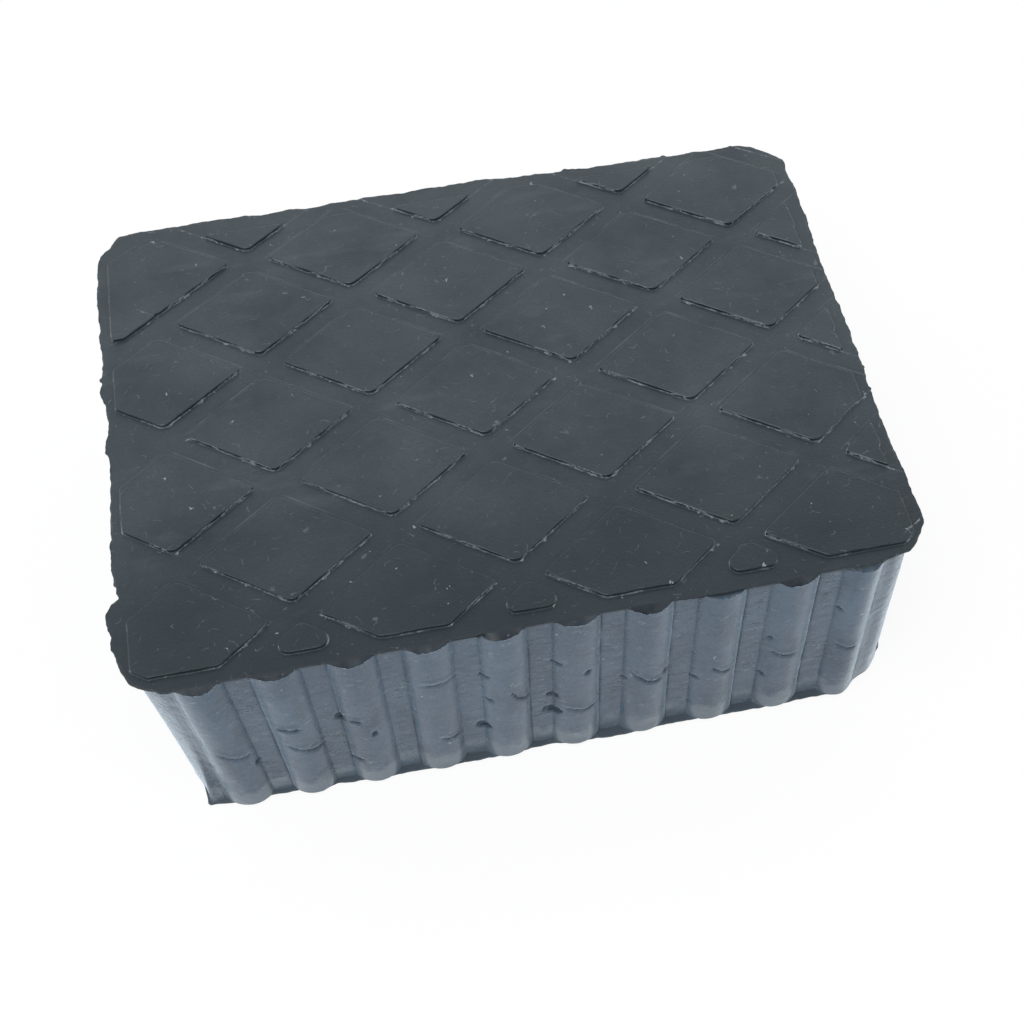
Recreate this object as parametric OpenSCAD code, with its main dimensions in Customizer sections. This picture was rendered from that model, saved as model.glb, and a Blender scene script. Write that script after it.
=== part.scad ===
// Rubber jacking block for a car lift: one solid moulding of black rubber.
// Its four sides carry upright rounded ribs, its top face carries low diamond studs,
// and thin moulding flash is left round the top and the bottom edge.
// The origin is at the middle of the underside, over the flash, with the length along X.

/* [Block] */
// Length of the block over its ribs, without the flash
body_l = 150; // [90:1:240]
// Width of the block over its ribs, without the flash
body_w = 119; // [80:1:200]
// Height from the underside to the floor between the studs
body_h = 44.8; // [20:0.2:90]
// Corner radius of the wall between the ribs
corner_r = 9; // [4:0.5:11]

/* [Side ribs] */
// Distance from one rib to the next
rib_pitch = 13.85; // [12:0.05:24]
// Width of a rib where it meets the wall
rib_w = 9.4; // [7:0.1:11]
// How far a rib stands out from the wall
rib_out = 2.3; // [1:0.1:3]
// Least length of plain wall from the last rib to the end of a side
end_land = 6; // [5:0.5:20]

/* [Diamond studs] */
// Distance from stud to stud along the length
stud_pitch_x = 42; // [25:0.5:60]
// Distance from stud to stud across the width
stud_pitch_y = 31.4; // [20:0.2:50]
// Width of the groove between two studs
groove_w = 5.2; // [3:0.1:9]
// Height of a stud over the groove floor
stud_h = 0.8; // [0.4:0.1:3]
// Radius of a stud's blunt corners, at its front and back
stud_r = 2.1; // [0.5:0.1:4]
// Radius of a stud's pointed corners, at its left and right
tip_r = 0.7; // [0.3:0.1:2]
// Width of the small rounded studs along the front
small_stud_w = 8.8; // [6:0.1:14]
// Depth of the small rounded studs along the front
small_stud_d = 5.8; // [4.2:0.1:9]
// Corner radius of the small rounded studs along the front
small_stud_r = 1.9; // [0.5:0.1:2]
// How far the small rounded studs sit to the right of their columns
small_stud_shift = 0.9; // [0:0.1:3]
// How far the pattern sits to the left of the middle
stud_shift = 1.4; // [0:0.1:5]
// Plain border beside the pattern at the left
border_left = 1.2; // [0:0.1:6]
// Plain border beside the pattern at the right, in the front corner
border_right = 2.4; // [0:0.1:6]
// Plain border beside the pattern at the right, in the back corner, past the ribs if below 0
border_right_back = -1; // [-1.5:0.1:6]
// Plain border beside the pattern along the front
border_front = 4.8; // [4:0.1:9]
// Plain border beside the pattern along the back
border_back = 2.4; // [2:0.1:9]
// Share of a half stud past the borders, above which a stud is small and rounded
most_cut = 0.62; // [0.4:0.01:0.7]
// Share of a half stud past the borders, above which there is no stud
no_stud = 0.75; // [0.7:0.01:0.9]
// Length that the stud in the back left corner runs out along its border
run_out = 17.5; // [13:0.5:20]

/* [Flash] */
// Thickness of the flash
flash_t = 0.6; // [0.4:0.1:1.2]
// Share of the torn overhang that is left, where 1 is as moulded
flash_left = 1; // [0.5:0.05:1.2]
// Depth of the fine tears in the flash edge
tear = 0.22; // [0.05:0.01:0.4]
// How far behind the faces of the front ribs the knife trimmed the flash
trim_back = 1.7; // [0.5:0.1:2.6]
// How far down the knife took the faces of the front ribs
trim_drop = 0.3; // [0.1:0.1:3]

/* [Hidden] */

half_l = body_l / 2;
half_w = body_w / 2;
wall_l = half_l - rib_out;
wall_w = half_w - rib_out;
bite = 0.3;

// A rib is the part of a round bar that stands out of the wall.
rib_bar_r = (rib_w * rib_w / 4 + rib_out * rib_out) / (2 * rib_out);
ribs_long = floor((body_l - 2 * end_land - rib_w) / rib_pitch) + 1;
ribs_short = floor((body_w - 2 * end_land - rib_w) / rib_pitch) + 1;

// A stud is a lattice diamond drawn in by half a groove on each side.
tile_x = stud_pitch_x / 2;
tile_y = stud_pitch_y / 2;
tile_in = tile_x * tile_y / norm([tile_x, tile_y]);
stud_share = 1 - groove_w / 2 / tile_in;
stud_x = tile_x * stud_share;
stud_y = tile_y * stud_share;
slope = atan2(stud_y, stud_x);
bends = 4;
cols = ceil(half_l / tile_x) + 1;
rows = ceil(half_w / tile_y) + 1;
pattern_left = half_l - border_left;
pattern_right = half_l - border_right;
pattern_right_back = half_l - border_right_back;
pattern_back = half_w - border_back;
pattern_front = half_w - border_front;
// The stud in the back left corner, if the lattice has one there.
corner_col = floor((half_l - stud_shift) / tile_x);
corner_row = floor(pattern_back / tile_y);

// The overhang of the top flash, in millimetres past the ribs, at equal steps along each
// side: the left side from back to front, and so on round the block, as it was torn.
cut = -trim_back;
top_left = [1.2, 1.4, 1.4, 1.1, 1.3, 0.9, 0.7, 0.9, 0.6, 1.0, 1.3, 0.8, 2.8, 0.9];
top_front = [cut, cut];
top_right = [0.8, 0.7, 1.0, 1.9, 2.6, 2.5, 3.2, 4.2, 4.4];
top_back = [0.6, 1.0, 1.1, 1.8, 2.7, 2.5, 2.4, 2.3, 3.1, 2.8];
// The corner radii of the top flash: front left, front right, back right, back left.
top_corners = [11, 11, 8, 9];
// The bottom flash fills the gaps between the ribs, nearly flush with them.
bottom_side = [0.2, -0.2, 0.1, -0.3, 0, 0.2, -0.1, 0.2];
bottom_corners = [15, 14, 13, 14];
step = 2.2;
arc_steps = 5;

function ease(t) = t * t * (3 - 2 * t);
function mix(a, b, t) = a + (b - a) * t;
function along(list, t) =
    let (n = len(list) - 1, k = min(floor(t * n), n - 1))
    mix(list[k], list[k + 1], ease(t * n - k));
function torn(out) = out > 0 ? flash_left * out : out;
function fine_tear(s) = tear * (sin(s * 67) + 0.7 * sin(s * 151 + 40) + 0.4 * sin(s * 263));

// One side of a flash outline from p to q, pushed out along n by the torn overhang.
function torn_side(p, q, n, list, seed) =
    let (count = ceil(norm(q - p) / step))
    [for (k = [0 : count]) let (t = k / count)
        mix(p, q, t) + n * (torn(along(list, t)) + fine_tear(seed + k * step))];

// A corner of a flash outline, round its centre c from angle a through a quarter turn,
// with its overhang changing from that of the side before it to that of the side after it.
function torn_corner(c, r, a, before, after, seed) =
    [for (k = [1 : arc_steps - 1]) let (t = k / arc_steps, b = a + 90 * t)
        c + (r + torn(mix(before, after, ease(t))) + fine_tear(seed + k * step)) * [cos(b), sin(b)]];

function last(list) = list[len(list) - 1];

// A closed flash outline, anticlockwise from the front left corner.
function torn_outline(front, right, back, left, radii) =
    let (fl = radii[0], fr = radii[1], br = radii[2], bl = radii[3])
    concat(
        torn_side([fl - half_l, -half_w], [half_l - fr, -half_w], [0, -1], front, 10),
        torn_corner([half_l - fr, fr - half_w], fr, -90, last(front), right[0], 20),
        torn_side([half_l, fr - half_w], [half_l, half_w - br], [1, 0], right, 31),
        torn_corner([half_l - br, half_w - br], br, 0, last(right), back[0], 43),
        torn_side([half_l - br, half_w], [bl - half_l, half_w], [0, 1], back, 57),
        torn_corner([bl - half_l, half_w - bl], bl, 90, last(back), left[0], 61),
        torn_side([-half_l, half_w - bl], [-half_l, fl - half_w], [-1, 0], left, 79),
        torn_corner([fl - half_l, fl - half_w], fl, 180, last(left), front[0], 83));

top_flash_line = torn_outline(top_front, top_right, top_back, top_left, top_corners);
bottom_flash_line =
    torn_outline(bottom_side, bottom_side, bottom_side, bottom_side, bottom_corners);

// The block is set over the middle of its flash, which stands out further at the back.
flash_x = [for (p = concat(top_flash_line, bottom_flash_line)) p[0]];
flash_y = [for (p = concat(top_flash_line, bottom_flash_line, [[0, -half_w]])) p[1]];
mid_x = (max(flash_x) + min(flash_x)) / 2;
mid_y = (max(flash_y) + min(flash_y)) / 2;

// Plan of the wall between the ribs.
module wall_plan() {
    square([2 * wall_l, 2 * (wall_w - corner_r)], center = true);
    square([2 * (wall_l - corner_r), 2 * wall_w], center = true);
    for (sx = [-1, 1], sy = [-1, 1])
        translate([sx * (wall_l - corner_r), sy * (wall_w - corner_r)])
            circle(r = corner_r, $fn = 64);
}

// Plan of a row of ribs along X, standing out towards -Y from a wall at distance w.
module rib_row(count, w) {
    for (k = [0 : count - 1])
        translate([(k - (count - 1) / 2) * rib_pitch, rib_bar_r - rib_out - w])
            circle(r = rib_bar_r, $fn = 96);
}

module block() {
    linear_extrude(body_h) {
        wall_plan();
        rib_row(ribs_long, wall_w);
        rotate(180) rib_row(ribs_long, wall_w);
        rotate(90) rib_row(ribs_short, wall_l);
        rotate(-90) rib_row(ribs_short, wall_l);
    }
}

// The wedge that the knife took off the front ribs with their flash.
module front_trim() {
    far = trim_back + 1;
    edge = trim_back - half_w;
    trim_l = (ribs_long - 1) * rib_pitch + rib_w;
    translate([-trim_l / 2, 0, body_h])
        rotate([90, 0, 90])
            linear_extrude(trim_l)
                polygon([
                    [edge, 0],
                    [edge - far, -trim_drop * far / trim_back],
                    [edge - far, 1],
                    [edge, 1]]);
}

// Points round a corner's centre c, from angle a to angle b.
function bend(c, r, a, b) =
    [for (k = [0 : bends]) let (t = a + (b - a) * k / bends) c + r * [cos(t), sin(t)]];

// One diamond of the lattice, with its two pointed and its two blunt corners rounded.
module diamond(x, y) {
    tip = stud_x - tip_r / sin(slope);
    blunt = stud_y - stud_r / cos(slope);
    polygon(concat(
        bend([x + tip, y], tip_r, slope - 90, 90 - slope),
        bend([x, y + blunt], stud_r, 90 - slope, 90 + slope),
        bend([x - tip, y], tip_r, 90 + slope, 270 - slope),
        bend([x, y - blunt], stud_r, 270 - slope, 270 + slope)));
}

// A small rounded stud, where only the back point of a diamond reaches the front border.
module small_stud(x) {
    half = small_stud_w / 2 - small_stud_r;
    deep = small_stud_d - 2 * small_stud_r;
    side = atan2(half, deep);
    front = small_stud_r - pattern_front;
    polygon(concat(
        bend([x + half, front], small_stud_r, -90, side),
        bend([x, front + deep], small_stud_r, side, 180 - side),
        bend([x - half, front], small_stud_r, 180 - side, 270)));
}

// The stud in the back left corner runs out to the border along its lower right side.
module corner_run_out() {
    x = -corner_col * tile_x - stud_shift;
    y = corner_row * tile_y;
    if ((corner_col + corner_row) % 2 == 0)
        polygon([
            [x + stud_x / 2, y - stud_y / 2], [x, y],
            [x - stud_x, y], [x - stud_x, y - run_out],
            [x - (run_out / stud_y - 1) * stud_x, y - run_out]]);
}

// The share of a half diamond that lies past the borders, along X and Y together.
function past(x, y) =
    max(0, x - pattern_right, -x - pattern_left) / stud_x
    + max(0, y - pattern_back, -y - pattern_front) / stud_y;
function is_small(x, y) = past(x, y) > most_cut && past(x, y) <= no_stud;

// Low diamond studs on a staggered lattice, cut off straight at the borders.
module studs() {
    linear_extrude(stud_h + bite) {
        intersection() {
            polygon([
                [-pattern_left, -pattern_front], [pattern_right, -pattern_front],
                [pattern_right_back, pattern_back], [-pattern_left, pattern_back]]);
            union() {
                corner_run_out();
                for (i = [-cols : cols], j = [-rows : rows]) {
                    x = i * tile_x - stud_shift;
                    y = j * tile_y;
                    if ((i + j) % 2 == 0 && past(x, y) <= most_cut)
                        diamond(x, y);
                }
            }
        }
        for (i = [-cols : cols], j = [-rows : 0]) {
            x = i * tile_x - stud_shift;
            y = j * tile_y;
            if ((i + j) % 2 == 0 && y < -tile_y && is_small(x, y))
                if (min(pattern_left + x, pattern_right - x) > small_stud_w)
                    small_stud(x + small_stud_shift);
        }
    }
}

module flash(line) {
    linear_extrude(flash_t) polygon(line);
}

module rubber_pad() {
    color([0.25, 0.27, 0.29])
        translate([-mid_x, -mid_y, 0])
            difference() {
                union() {
                    block();
                    flash(bottom_flash_line);
                    translate([0, 0, body_h - flash_t]) flash(top_flash_line);
                    translate([0, 0, body_h - bite]) studs();
                }
                front_trim();
            }
}

rubber_pad();
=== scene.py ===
import math

import bmesh
import bpy
import numpy as np
from mathutils import Euler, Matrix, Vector, noise
from mathutils.geometry import delaunay_2d_cdt


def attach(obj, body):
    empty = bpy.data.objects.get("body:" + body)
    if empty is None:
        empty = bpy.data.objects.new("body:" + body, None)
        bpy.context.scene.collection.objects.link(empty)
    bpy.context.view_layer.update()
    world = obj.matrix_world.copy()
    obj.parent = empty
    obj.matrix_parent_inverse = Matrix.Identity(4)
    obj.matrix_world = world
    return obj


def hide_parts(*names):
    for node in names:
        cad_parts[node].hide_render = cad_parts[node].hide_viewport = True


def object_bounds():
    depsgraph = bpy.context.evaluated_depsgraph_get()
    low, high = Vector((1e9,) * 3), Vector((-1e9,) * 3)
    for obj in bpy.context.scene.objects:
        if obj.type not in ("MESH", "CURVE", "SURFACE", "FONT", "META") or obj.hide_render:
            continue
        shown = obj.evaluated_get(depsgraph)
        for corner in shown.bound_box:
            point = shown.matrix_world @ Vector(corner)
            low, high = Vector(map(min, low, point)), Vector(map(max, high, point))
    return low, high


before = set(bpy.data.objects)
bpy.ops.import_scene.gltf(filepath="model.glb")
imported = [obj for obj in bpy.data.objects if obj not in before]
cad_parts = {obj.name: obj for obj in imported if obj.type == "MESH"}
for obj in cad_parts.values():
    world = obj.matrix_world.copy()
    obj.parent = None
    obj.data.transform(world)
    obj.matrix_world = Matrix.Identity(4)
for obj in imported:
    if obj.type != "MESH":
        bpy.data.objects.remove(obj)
cad_box = [list(corner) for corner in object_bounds()]

# The studio
# The block lies on a white paper floor under one wide soft lamp, in a room that is pale
# near the floor and darker overhead. The camera looks down on it from the front, a little
# to the left, from about 0.35 m, with a normal lens.

scene = bpy.context.scene
scene.view_settings.view_transform = "Standard"


def put(tree, kind, given=None, **settings):
    """A node with its settings, its inputs given as values or as the sockets feeding them."""
    node = tree.nodes.new(kind)
    for setting, value in settings.items():
        setattr(node, setting, value)
    for socket, value in (given or {}).items():
        for feed in value if isinstance(value, list) else [value]:
            if isinstance(feed, bpy.types.NodeSocket):
                tree.links.new(feed, node.inputs[socket])
            else:
                node.inputs[socket].default_value = feed
    return node


def calc(tree, operation, *terms):
    """One step of arithmetic in a tree."""
    return put(tree, "ShaderNodeMath", dict(enumerate(terms)), operation=operation).outputs[0]


camera = bpy.data.objects.new("camera", bpy.data.cameras.new("camera"))
camera.data.lens = 54.75
camera.data.sensor_width = 36
camera.data.clip_start = 0.01
camera.location = (-0.02756, -0.20886, 0.28332)
camera.rotation_euler = Euler([math.radians(a) for a in (36.652, 1.772, -10.995)])
scene.collection.objects.link(camera)
scene.camera = camera

floor_mesh = bpy.data.meshes.new("floor")
floor_mesh.from_pydata([(-4, -4, 0), (4, -4, 0), (4, 4, 0), (-4, 4, 0)], [], [(0, 1, 2, 3)])
floor = bpy.data.objects.new("floor", floor_mesh)
scene.collection.objects.link(floor)

# Seen by the camera or mirrored in the rubber, the paper is burnt out to white.
paper = bpy.data.materials.new("white paper")
paper.use_nodes = True
sheet_look = paper.node_tree
paper_face = sheet_look.nodes["Principled BSDF"]
paper_face.inputs["Base Color"].default_value = (0.86, 0.86, 0.86, 1)
paper_face.inputs["Roughness"].default_value = 0.9
paper_glow = put(sheet_look, "ShaderNodeEmission", {"Strength": 1.04})
paper_rays = put(sheet_look, "ShaderNodeLightPath").outputs
burnt_out = calc(sheet_look, "MAXIMUM", paper_rays["Is Camera Ray"], paper_rays["Is Glossy Ray"])
paper_mix = put(sheet_look, "ShaderNodeMixShader", {
    0: calc(sheet_look, "MULTIPLY", burnt_out, 0.85), 1: paper_face.outputs[0],
    2: paper_glow.outputs[0]})
sheet_look.links.new(
    paper_mix.outputs[0], sheet_look.nodes["Material Output"].inputs["Surface"])
floor_mesh.materials.append(paper)

# The room is darker overhead, and paler behind the block and at its sides. The camera sees
# it white.
world = bpy.data.worlds.new("studio room")
scene.world = world
world.use_nodes = True
room = world.node_tree
room_way = put(room, "ShaderNodeTexCoord").outputs["Generated"]
room_way = put(room, "ShaderNodeSeparateXYZ", {0: room_way}).outputs
room_behind = calc(room, "MAXIMUM", room_way["Y"], 0.0)
room_level = calc(room, "MULTIPLY_ADD", room_behind, -0.8, room_way["Z"])
room_beside = calc(room, "ABSOLUTE", room_way["X"])
room_level = calc(room, "MULTIPLY_ADD", room_beside, -0.5, room_level)
room_ramp = put(room, "ShaderNodeValToRGB", {0: room_level})
for ramp_end, ramp_at, room_tone in ((0, 0.05, (1, 1, 1, 1)), (1, 0.5, (0.12, 0.13, 0.145, 1))):
    room_ramp.color_ramp.elements[ramp_end].position = ramp_at
    room_ramp.color_ramp.elements[ramp_end].color = room_tone
room_seen = put(room, "ShaderNodeMix", {
    "Factor": put(room, "ShaderNodeLightPath").outputs["Is Camera Ray"],
    "A": room_ramp.outputs["Color"], "B": (1, 1, 1, 1)}, data_type="RGBA")
room.links.new(room_seen.outputs["Result"], room.nodes["Background"].inputs["Color"])

lamp_data = bpy.data.lights.new("soft lamp", "AREA")
lamp_data.shape = "DISK"
lamp_data.size = 0.9
lamp_data.energy = 7.5
lamp = bpy.data.objects.new("soft lamp", lamp_data)
lamp.location = (-0.25, -0.35, 1.1)
lamp.rotation_euler = (-lamp.location).to_track_quat("-Z", "Y").to_euler()
scene.collection.objects.link(lamp)

# The fluted wall
# The four sides of the block carry upright rounded ribs, moulded in one with it in black
# rubber. One side is drawn from its sizes, with half a corner at each end, and is set
# round the block four times, finer at the front.

MM = 0.001
rib_pitch, rib_width, rib_height = 13.85 * MM, 9.4 * MM, 2.3 * MM
wall_x, wall_y = 72.7 * MM, 57.2 * MM
corner_radius = 9 * MM
block_height = 44.8 * MM
wall_rows = 84


def new_tree(name, sizes):
    """A geometry node tree with one named input for each size."""
    tree = bpy.data.node_groups.new(name, "GeometryNodeTree")
    tree.interface.new_socket("Geometry", in_out="OUTPUT", socket_type="NodeSocketGeometry")
    for label, size in sizes.items():
        kind = "NodeSocketInt" if isinstance(size, int) else "NodeSocketFloat"
        tree.interface.new_socket(label, in_out="INPUT", socket_type=kind).default_value = size
    tree.nodes.new("NodeGroupInput")
    tree.nodes.new("NodeGroupOutput")
    return tree, {label: tree.nodes["Group Input"].outputs[label] for label in sizes}


def position(tree):
    """Where each point lies, along each axis."""
    at = put(tree, "GeometryNodeInputPosition").outputs[0]
    return put(tree, "ShaderNodeSeparateXYZ", {0: at}).outputs


def stored(tree, geometry, label, value, kind="FLOAT"):
    """The geometry, with a value noted on each of its points."""
    return put(tree, "GeometryNodeStoreNamedAttribute", {
        "Geometry": geometry, "Name": label, "Value": value},
        data_type=kind, domain="POINT").outputs[0]


def close_tree(tree, geometry, material):
    """The last steps of a tree: real meshes in place of instances, and the material."""
    real = put(tree, "GeometryNodeRealizeInstances", {0: geometry}).outputs[0]
    done = put(tree, "GeometryNodeSetMaterial", {"Geometry": real, "Material": material})
    tree.links.new(done.outputs[0], tree.nodes["Group Output"].inputs[0])


def grow(tree, sizes):
    """The plain mesh that a tree makes with these sizes."""
    holder = bpy.data.objects.new(tree.name, bpy.data.meshes.new(tree.name))
    scene.collection.objects.link(holder)
    modifier = holder.modifiers.new(tree.name, "NODES")
    modifier.node_group = tree
    for item in tree.interface.items_tree:
        if item.in_out == "INPUT":
            modifier[item.identifier] = sizes[item.name]
    ready = holder.evaluated_get(bpy.context.evaluated_depsgraph_get())
    mesh = bpy.data.meshes.new_from_object(ready)
    bpy.data.objects.remove(holder)
    return mesh


rubber = bpy.data.materials.new("black moulded rubber")
rubber.use_nodes = True

side, get = new_tree("fluted side", {
    "Ribs": 10, "Rib pitch": rib_pitch, "Rib width": rib_width, "Rib height": rib_height,
    "Wall distance": wall_y, "Straight half": wall_x - corner_radius,
    "Corner radius": corner_radius, "Height": block_height, "Rows": wall_rows,
    "Rib steps": 20, "Gap steps": 10, "Corner steps": 9, "Side": 0,
})


# Short forms for the arithmetic of one side.
def plus(a, b):
    return calc(side, "ADD", a, b)


def less(a, b):
    return calc(side, "SUBTRACT", a, b)


def times(a, b):
    return calc(side, "MULTIPLY", a, b)


def over(a, b):
    return calc(side, "DIVIDE", a, b)


def squared(a):
    return calc(side, "POWER", a, 2.0)


def between(a, low, high):
    return calc(side, "MINIMUM", calc(side, "MAXIMUM", a, low), high)


# Columns stand close together on the ribs and wider on the plain ends. The last column
# is left to the next side.
cell = plus(get["Rib steps"], get["Gap steps"])
ribbed_run = less(times(get["Ribs"], cell), get["Gap steps"])
columns = plus(ribbed_run, times(get["Corner steps"], 2.0))
last_column, last_row = less(columns, 1.0), less(get["Rows"], 1.0)
grid = put(side, "GeometryNodeMeshGrid", {
    "Size X": last_column, "Size Y": last_row, "Vertices X": columns, "Vertices Y": get["Rows"]})
grid_at = position(side)
column = calc(side, "ROUND", plus(grid_at[0], times(last_column, 0.5)))
row = calc(side, "ROUND", plus(grid_at[1], times(last_row, 0.5)))
past_plain = less(column, get["Corner steps"])
in_ribs = between(past_plain, 0.0, ribbed_run)
whole = calc(side, "FLOOR", over(in_ribs, cell))
in_cell = less(in_ribs, times(whole, cell))
rib_step = over(get["Rib width"], get["Rib steps"])
gap_step = over(less(get["Rib pitch"], get["Rib width"]), get["Gap steps"])
half_run = times(times(less(get["Ribs"], 1.0), get["Rib pitch"]), 0.5)
outer_edge = plus(half_run, times(get["Rib width"], 0.5))
corner_end = plus(get["Straight half"], times(get["Corner radius"], math.sqrt(0.5)))
corner_step = over(less(corner_end, outer_edge), get["Corner steps"])
across = less(times(whole, get["Rib pitch"]), outer_edge)
across = plus(across, times(calc(side, "MINIMUM", in_cell, get["Rib steps"]), rib_step))
across = plus(across, times(calc(side, "MAXIMUM", less(in_cell, get["Rib steps"]), 0.0), gap_step))
across = plus(across, times(less(past_plain, in_ribs), corner_step))
# The wall runs straight and bends into the corners, and each rib is part of a round bar.
past_straight = less(calc(side, "ABSOLUTE", across), get["Straight half"])
past_straight = calc(side, "MAXIMUM", past_straight, 0.0)
bend = calc(side, "SQRT", less(squared(get["Corner radius"]), squared(past_straight)))
wall_line = plus(less(get["Wall distance"], get["Corner radius"]), bend)
bar_radius = plus(squared(times(get["Rib width"], 0.5)), squared(get["Rib height"]))
bar_radius = over(bar_radius, times(get["Rib height"], 2.0))
rib_number = calc(side, "ROUND", over(plus(across, half_run), get["Rib pitch"]))
rib_number = between(rib_number, 0.0, less(get["Ribs"], 1.0))
off_rib = less(plus(across, half_run), times(rib_number, get["Rib pitch"]))
bar_depth = less(squared(bar_radius), squared(off_rib))
bar_depth = calc(side, "SQRT", calc(side, "MAXIMUM", bar_depth, 0.0))
rib_line = plus(less(plus(get["Wall distance"], get["Rib height"]), bar_radius), bar_depth)
out = calc(side, "MAXIMUM", wall_line, rib_line)
wall_spot = put(side, "ShaderNodeCombineXYZ", {
    0: across, 1: times(out, -1.0), 2: over(times(row, get["Height"]), last_row)})
order = plus(column, times(get["Side"], 10000.0))
sheet = stored(side, grid.outputs["Mesh"], "row", row)
sheet = stored(side, sheet, "order", order)
bent = put(side, "GeometryNodeSetPosition", {"Geometry": sheet, "Position": wall_spot.outputs[0]})
side.links.new(bent.outputs[0], side.nodes["Group Output"].inputs[0])

wall_sizes = {
    "Ribs along": 10, "Ribs across": 8, "Rib pitch": rib_pitch, "Rib width": rib_width,
    "Rib height": rib_height, "Wall X": wall_x, "Wall Y": wall_y,
    "Corner radius": corner_radius, "Height": block_height, "Rows": wall_rows,
}
wall, get = new_tree("fluted wall", wall_sizes)
straight = {axis: calc(wall, "SUBTRACT", get[f"Wall {axis}"], get["Corner radius"])
            for axis in "XY"}
sides = []
for number, (ribs, out_axis, long_axis, rib_steps, gap_steps) in enumerate([
        ("Ribs along", "Y", "X", 20, 10), ("Ribs across", "X", "Y", 10, 4),
        ("Ribs along", "Y", "X", 10, 4), ("Ribs across", "X", "Y", 10, 4)]):
    flutes = put(wall, "GeometryNodeGroup", {
        "Ribs": get[ribs], "Wall distance": get[f"Wall {out_axis}"],
        "Straight half": straight[long_axis],
        "Rib steps": rib_steps, "Gap steps": gap_steps, "Side": number,
        **{label: get[label] for label in
           ("Rib pitch", "Rib width", "Rib height", "Corner radius", "Height", "Rows")},
    }, node_tree=side)
    turned = put(wall, "GeometryNodeTransform", {
        "Geometry": flutes.outputs[0], "Rotation": (0, 0, number * math.pi / 2)})
    sides.append(turned.outputs[0])
close_tree(wall, put(wall, "GeometryNodeJoinGeometry", {0: sides}).outputs[0], rubber)


def numbers(mesh, label):
    """The values of an attribute, one for each point of a mesh."""
    found = np.empty(len(mesh.vertices))
    mesh.attributes[label].data.foreach_get("value", found)
    return found


def places(mesh):
    """Where each point of a mesh lies."""
    found = np.empty(len(mesh.vertices) * 3)
    mesh.vertices.foreach_get("co", found)
    return found.reshape(-1, 3)


def in_mm(metres):
    return round(metres / MM, 3)


wall_mesh = grow(wall, wall_sizes)
in_order = np.lexsort((numbers(wall_mesh, "order"), numbers(wall_mesh, "row")))
wall_at = places(wall_mesh)[in_order].reshape(wall_rows, -1, 3) / MM

# From here the block is worked on in millimetres, as a stack of closed rings of points
# round it, from the underside up. Each ring runs anticlockwise from the front left corner.
core_x, core_y = in_mm(wall_x - corner_radius), in_mm(wall_y - corner_radius)
corner_round, top = in_mm(corner_radius), in_mm(block_height)
pitch, rib_across = in_mm(rib_pitch), in_mm(rib_width)
# Next to the front corners the two ends have no rib, only a soft swelling: a shallow one
# on the right, and a fuller one on the left.
swelling_y, swelling_width = -48.5, 4.3
last_rib_y, last_rib_half = -48.3, 6.9
corner_fall = np.minimum(wall_at[:, :, 1] + core_y, 0)
plain_wall = core_x + np.sqrt(np.maximum(corner_round ** 2 - corner_fall ** 2, 0))
for hand, swelling in ((1, 0.9), (-1, 2.2)):
    bulge = np.exp(-((wall_at[:, :, 1] - swelling_y) / swelling_width) ** 2)
    by_corner = wall_at[:, :, 0] * hand > core_x + 3
    by_corner &= abs(wall_at[:, :, 1] - last_rib_y) < last_rib_half
    swollen = hand * (plain_wall + swelling * bulge)
    wall_at[:, :, 0] = np.where(by_corner, swollen, wall_at[:, :, 0])


def way_round(points):
    """How far round the block each point lies, from the middle of the front left corner."""
    near_x = np.clip(points[:, 0], -core_x, core_x)
    near_y = np.clip(points[:, 1], -core_y, core_y)
    turn = np.degrees(np.arctan2(points[:, 1] - near_y, points[:, 0] - near_x))
    turn = (turn + 135) % 360 - 135
    done = np.select(
        [turn < -0.01, turn < 89.99, turn < 179.99],
        [near_x + core_x, 2 * core_x + near_y + core_y,
         4 * core_x + 2 * core_y - core_x - near_x],
        4 * core_x + 2 * core_y + core_y - near_y)
    return done + corner_round * np.radians(turn + 135)


def uneven(points, size, seed, stretch=(1, 1, 1)):
    """Smooth seeded unevenness from -1 to 1, in lumps of about this size."""
    scale = np.array(stretch) / size
    return np.array([noise.noise(Vector(p * scale) + Vector((seed, 0, 0))) for p in points])


def outward(ring):
    """The level direction out of a closed ring at each of its points."""
    ahead = np.roll(ring, -1, axis=0) - np.roll(ring, 1, axis=0)
    flat = np.stack([ahead[:, 1], -ahead[:, 0], 0 * ahead[:, 0]], axis=1)
    return flat / np.linalg.norm(flat, axis=1)[:, None]


# The flash round the top
# A thin film of rubber was squeezed out between the halves of the mould and torn off
# roughly by hand, and along the front it was cut off with a knife, which took the tops
# of the ribs with it. The film is part of the same rubber.

cut_line = -57.8
film_thickness = 0.6
# For each front rib: how much of its top the knife took, how dark the cut shows, and how
# far the bloom runs over it.
rib_middles = [-62.3 + pitch * k for k in range(10)]
cut_falls = [0.5, 0.2, 0.5, 0.3, 0.5, 0.3, 0.9, 0.0, 0.6, 0.0]
cut_shades = [0.55, 0.9, 0.75, 0.7, 0.8, 0.75, 1.0, 0.1, 1.0, 0.35]
cut_blooms = [0.15, 0.0, 0.2, 0.2, 0.0, 0.25, 0.0, 0.9, 0.0, 0.6]
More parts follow.
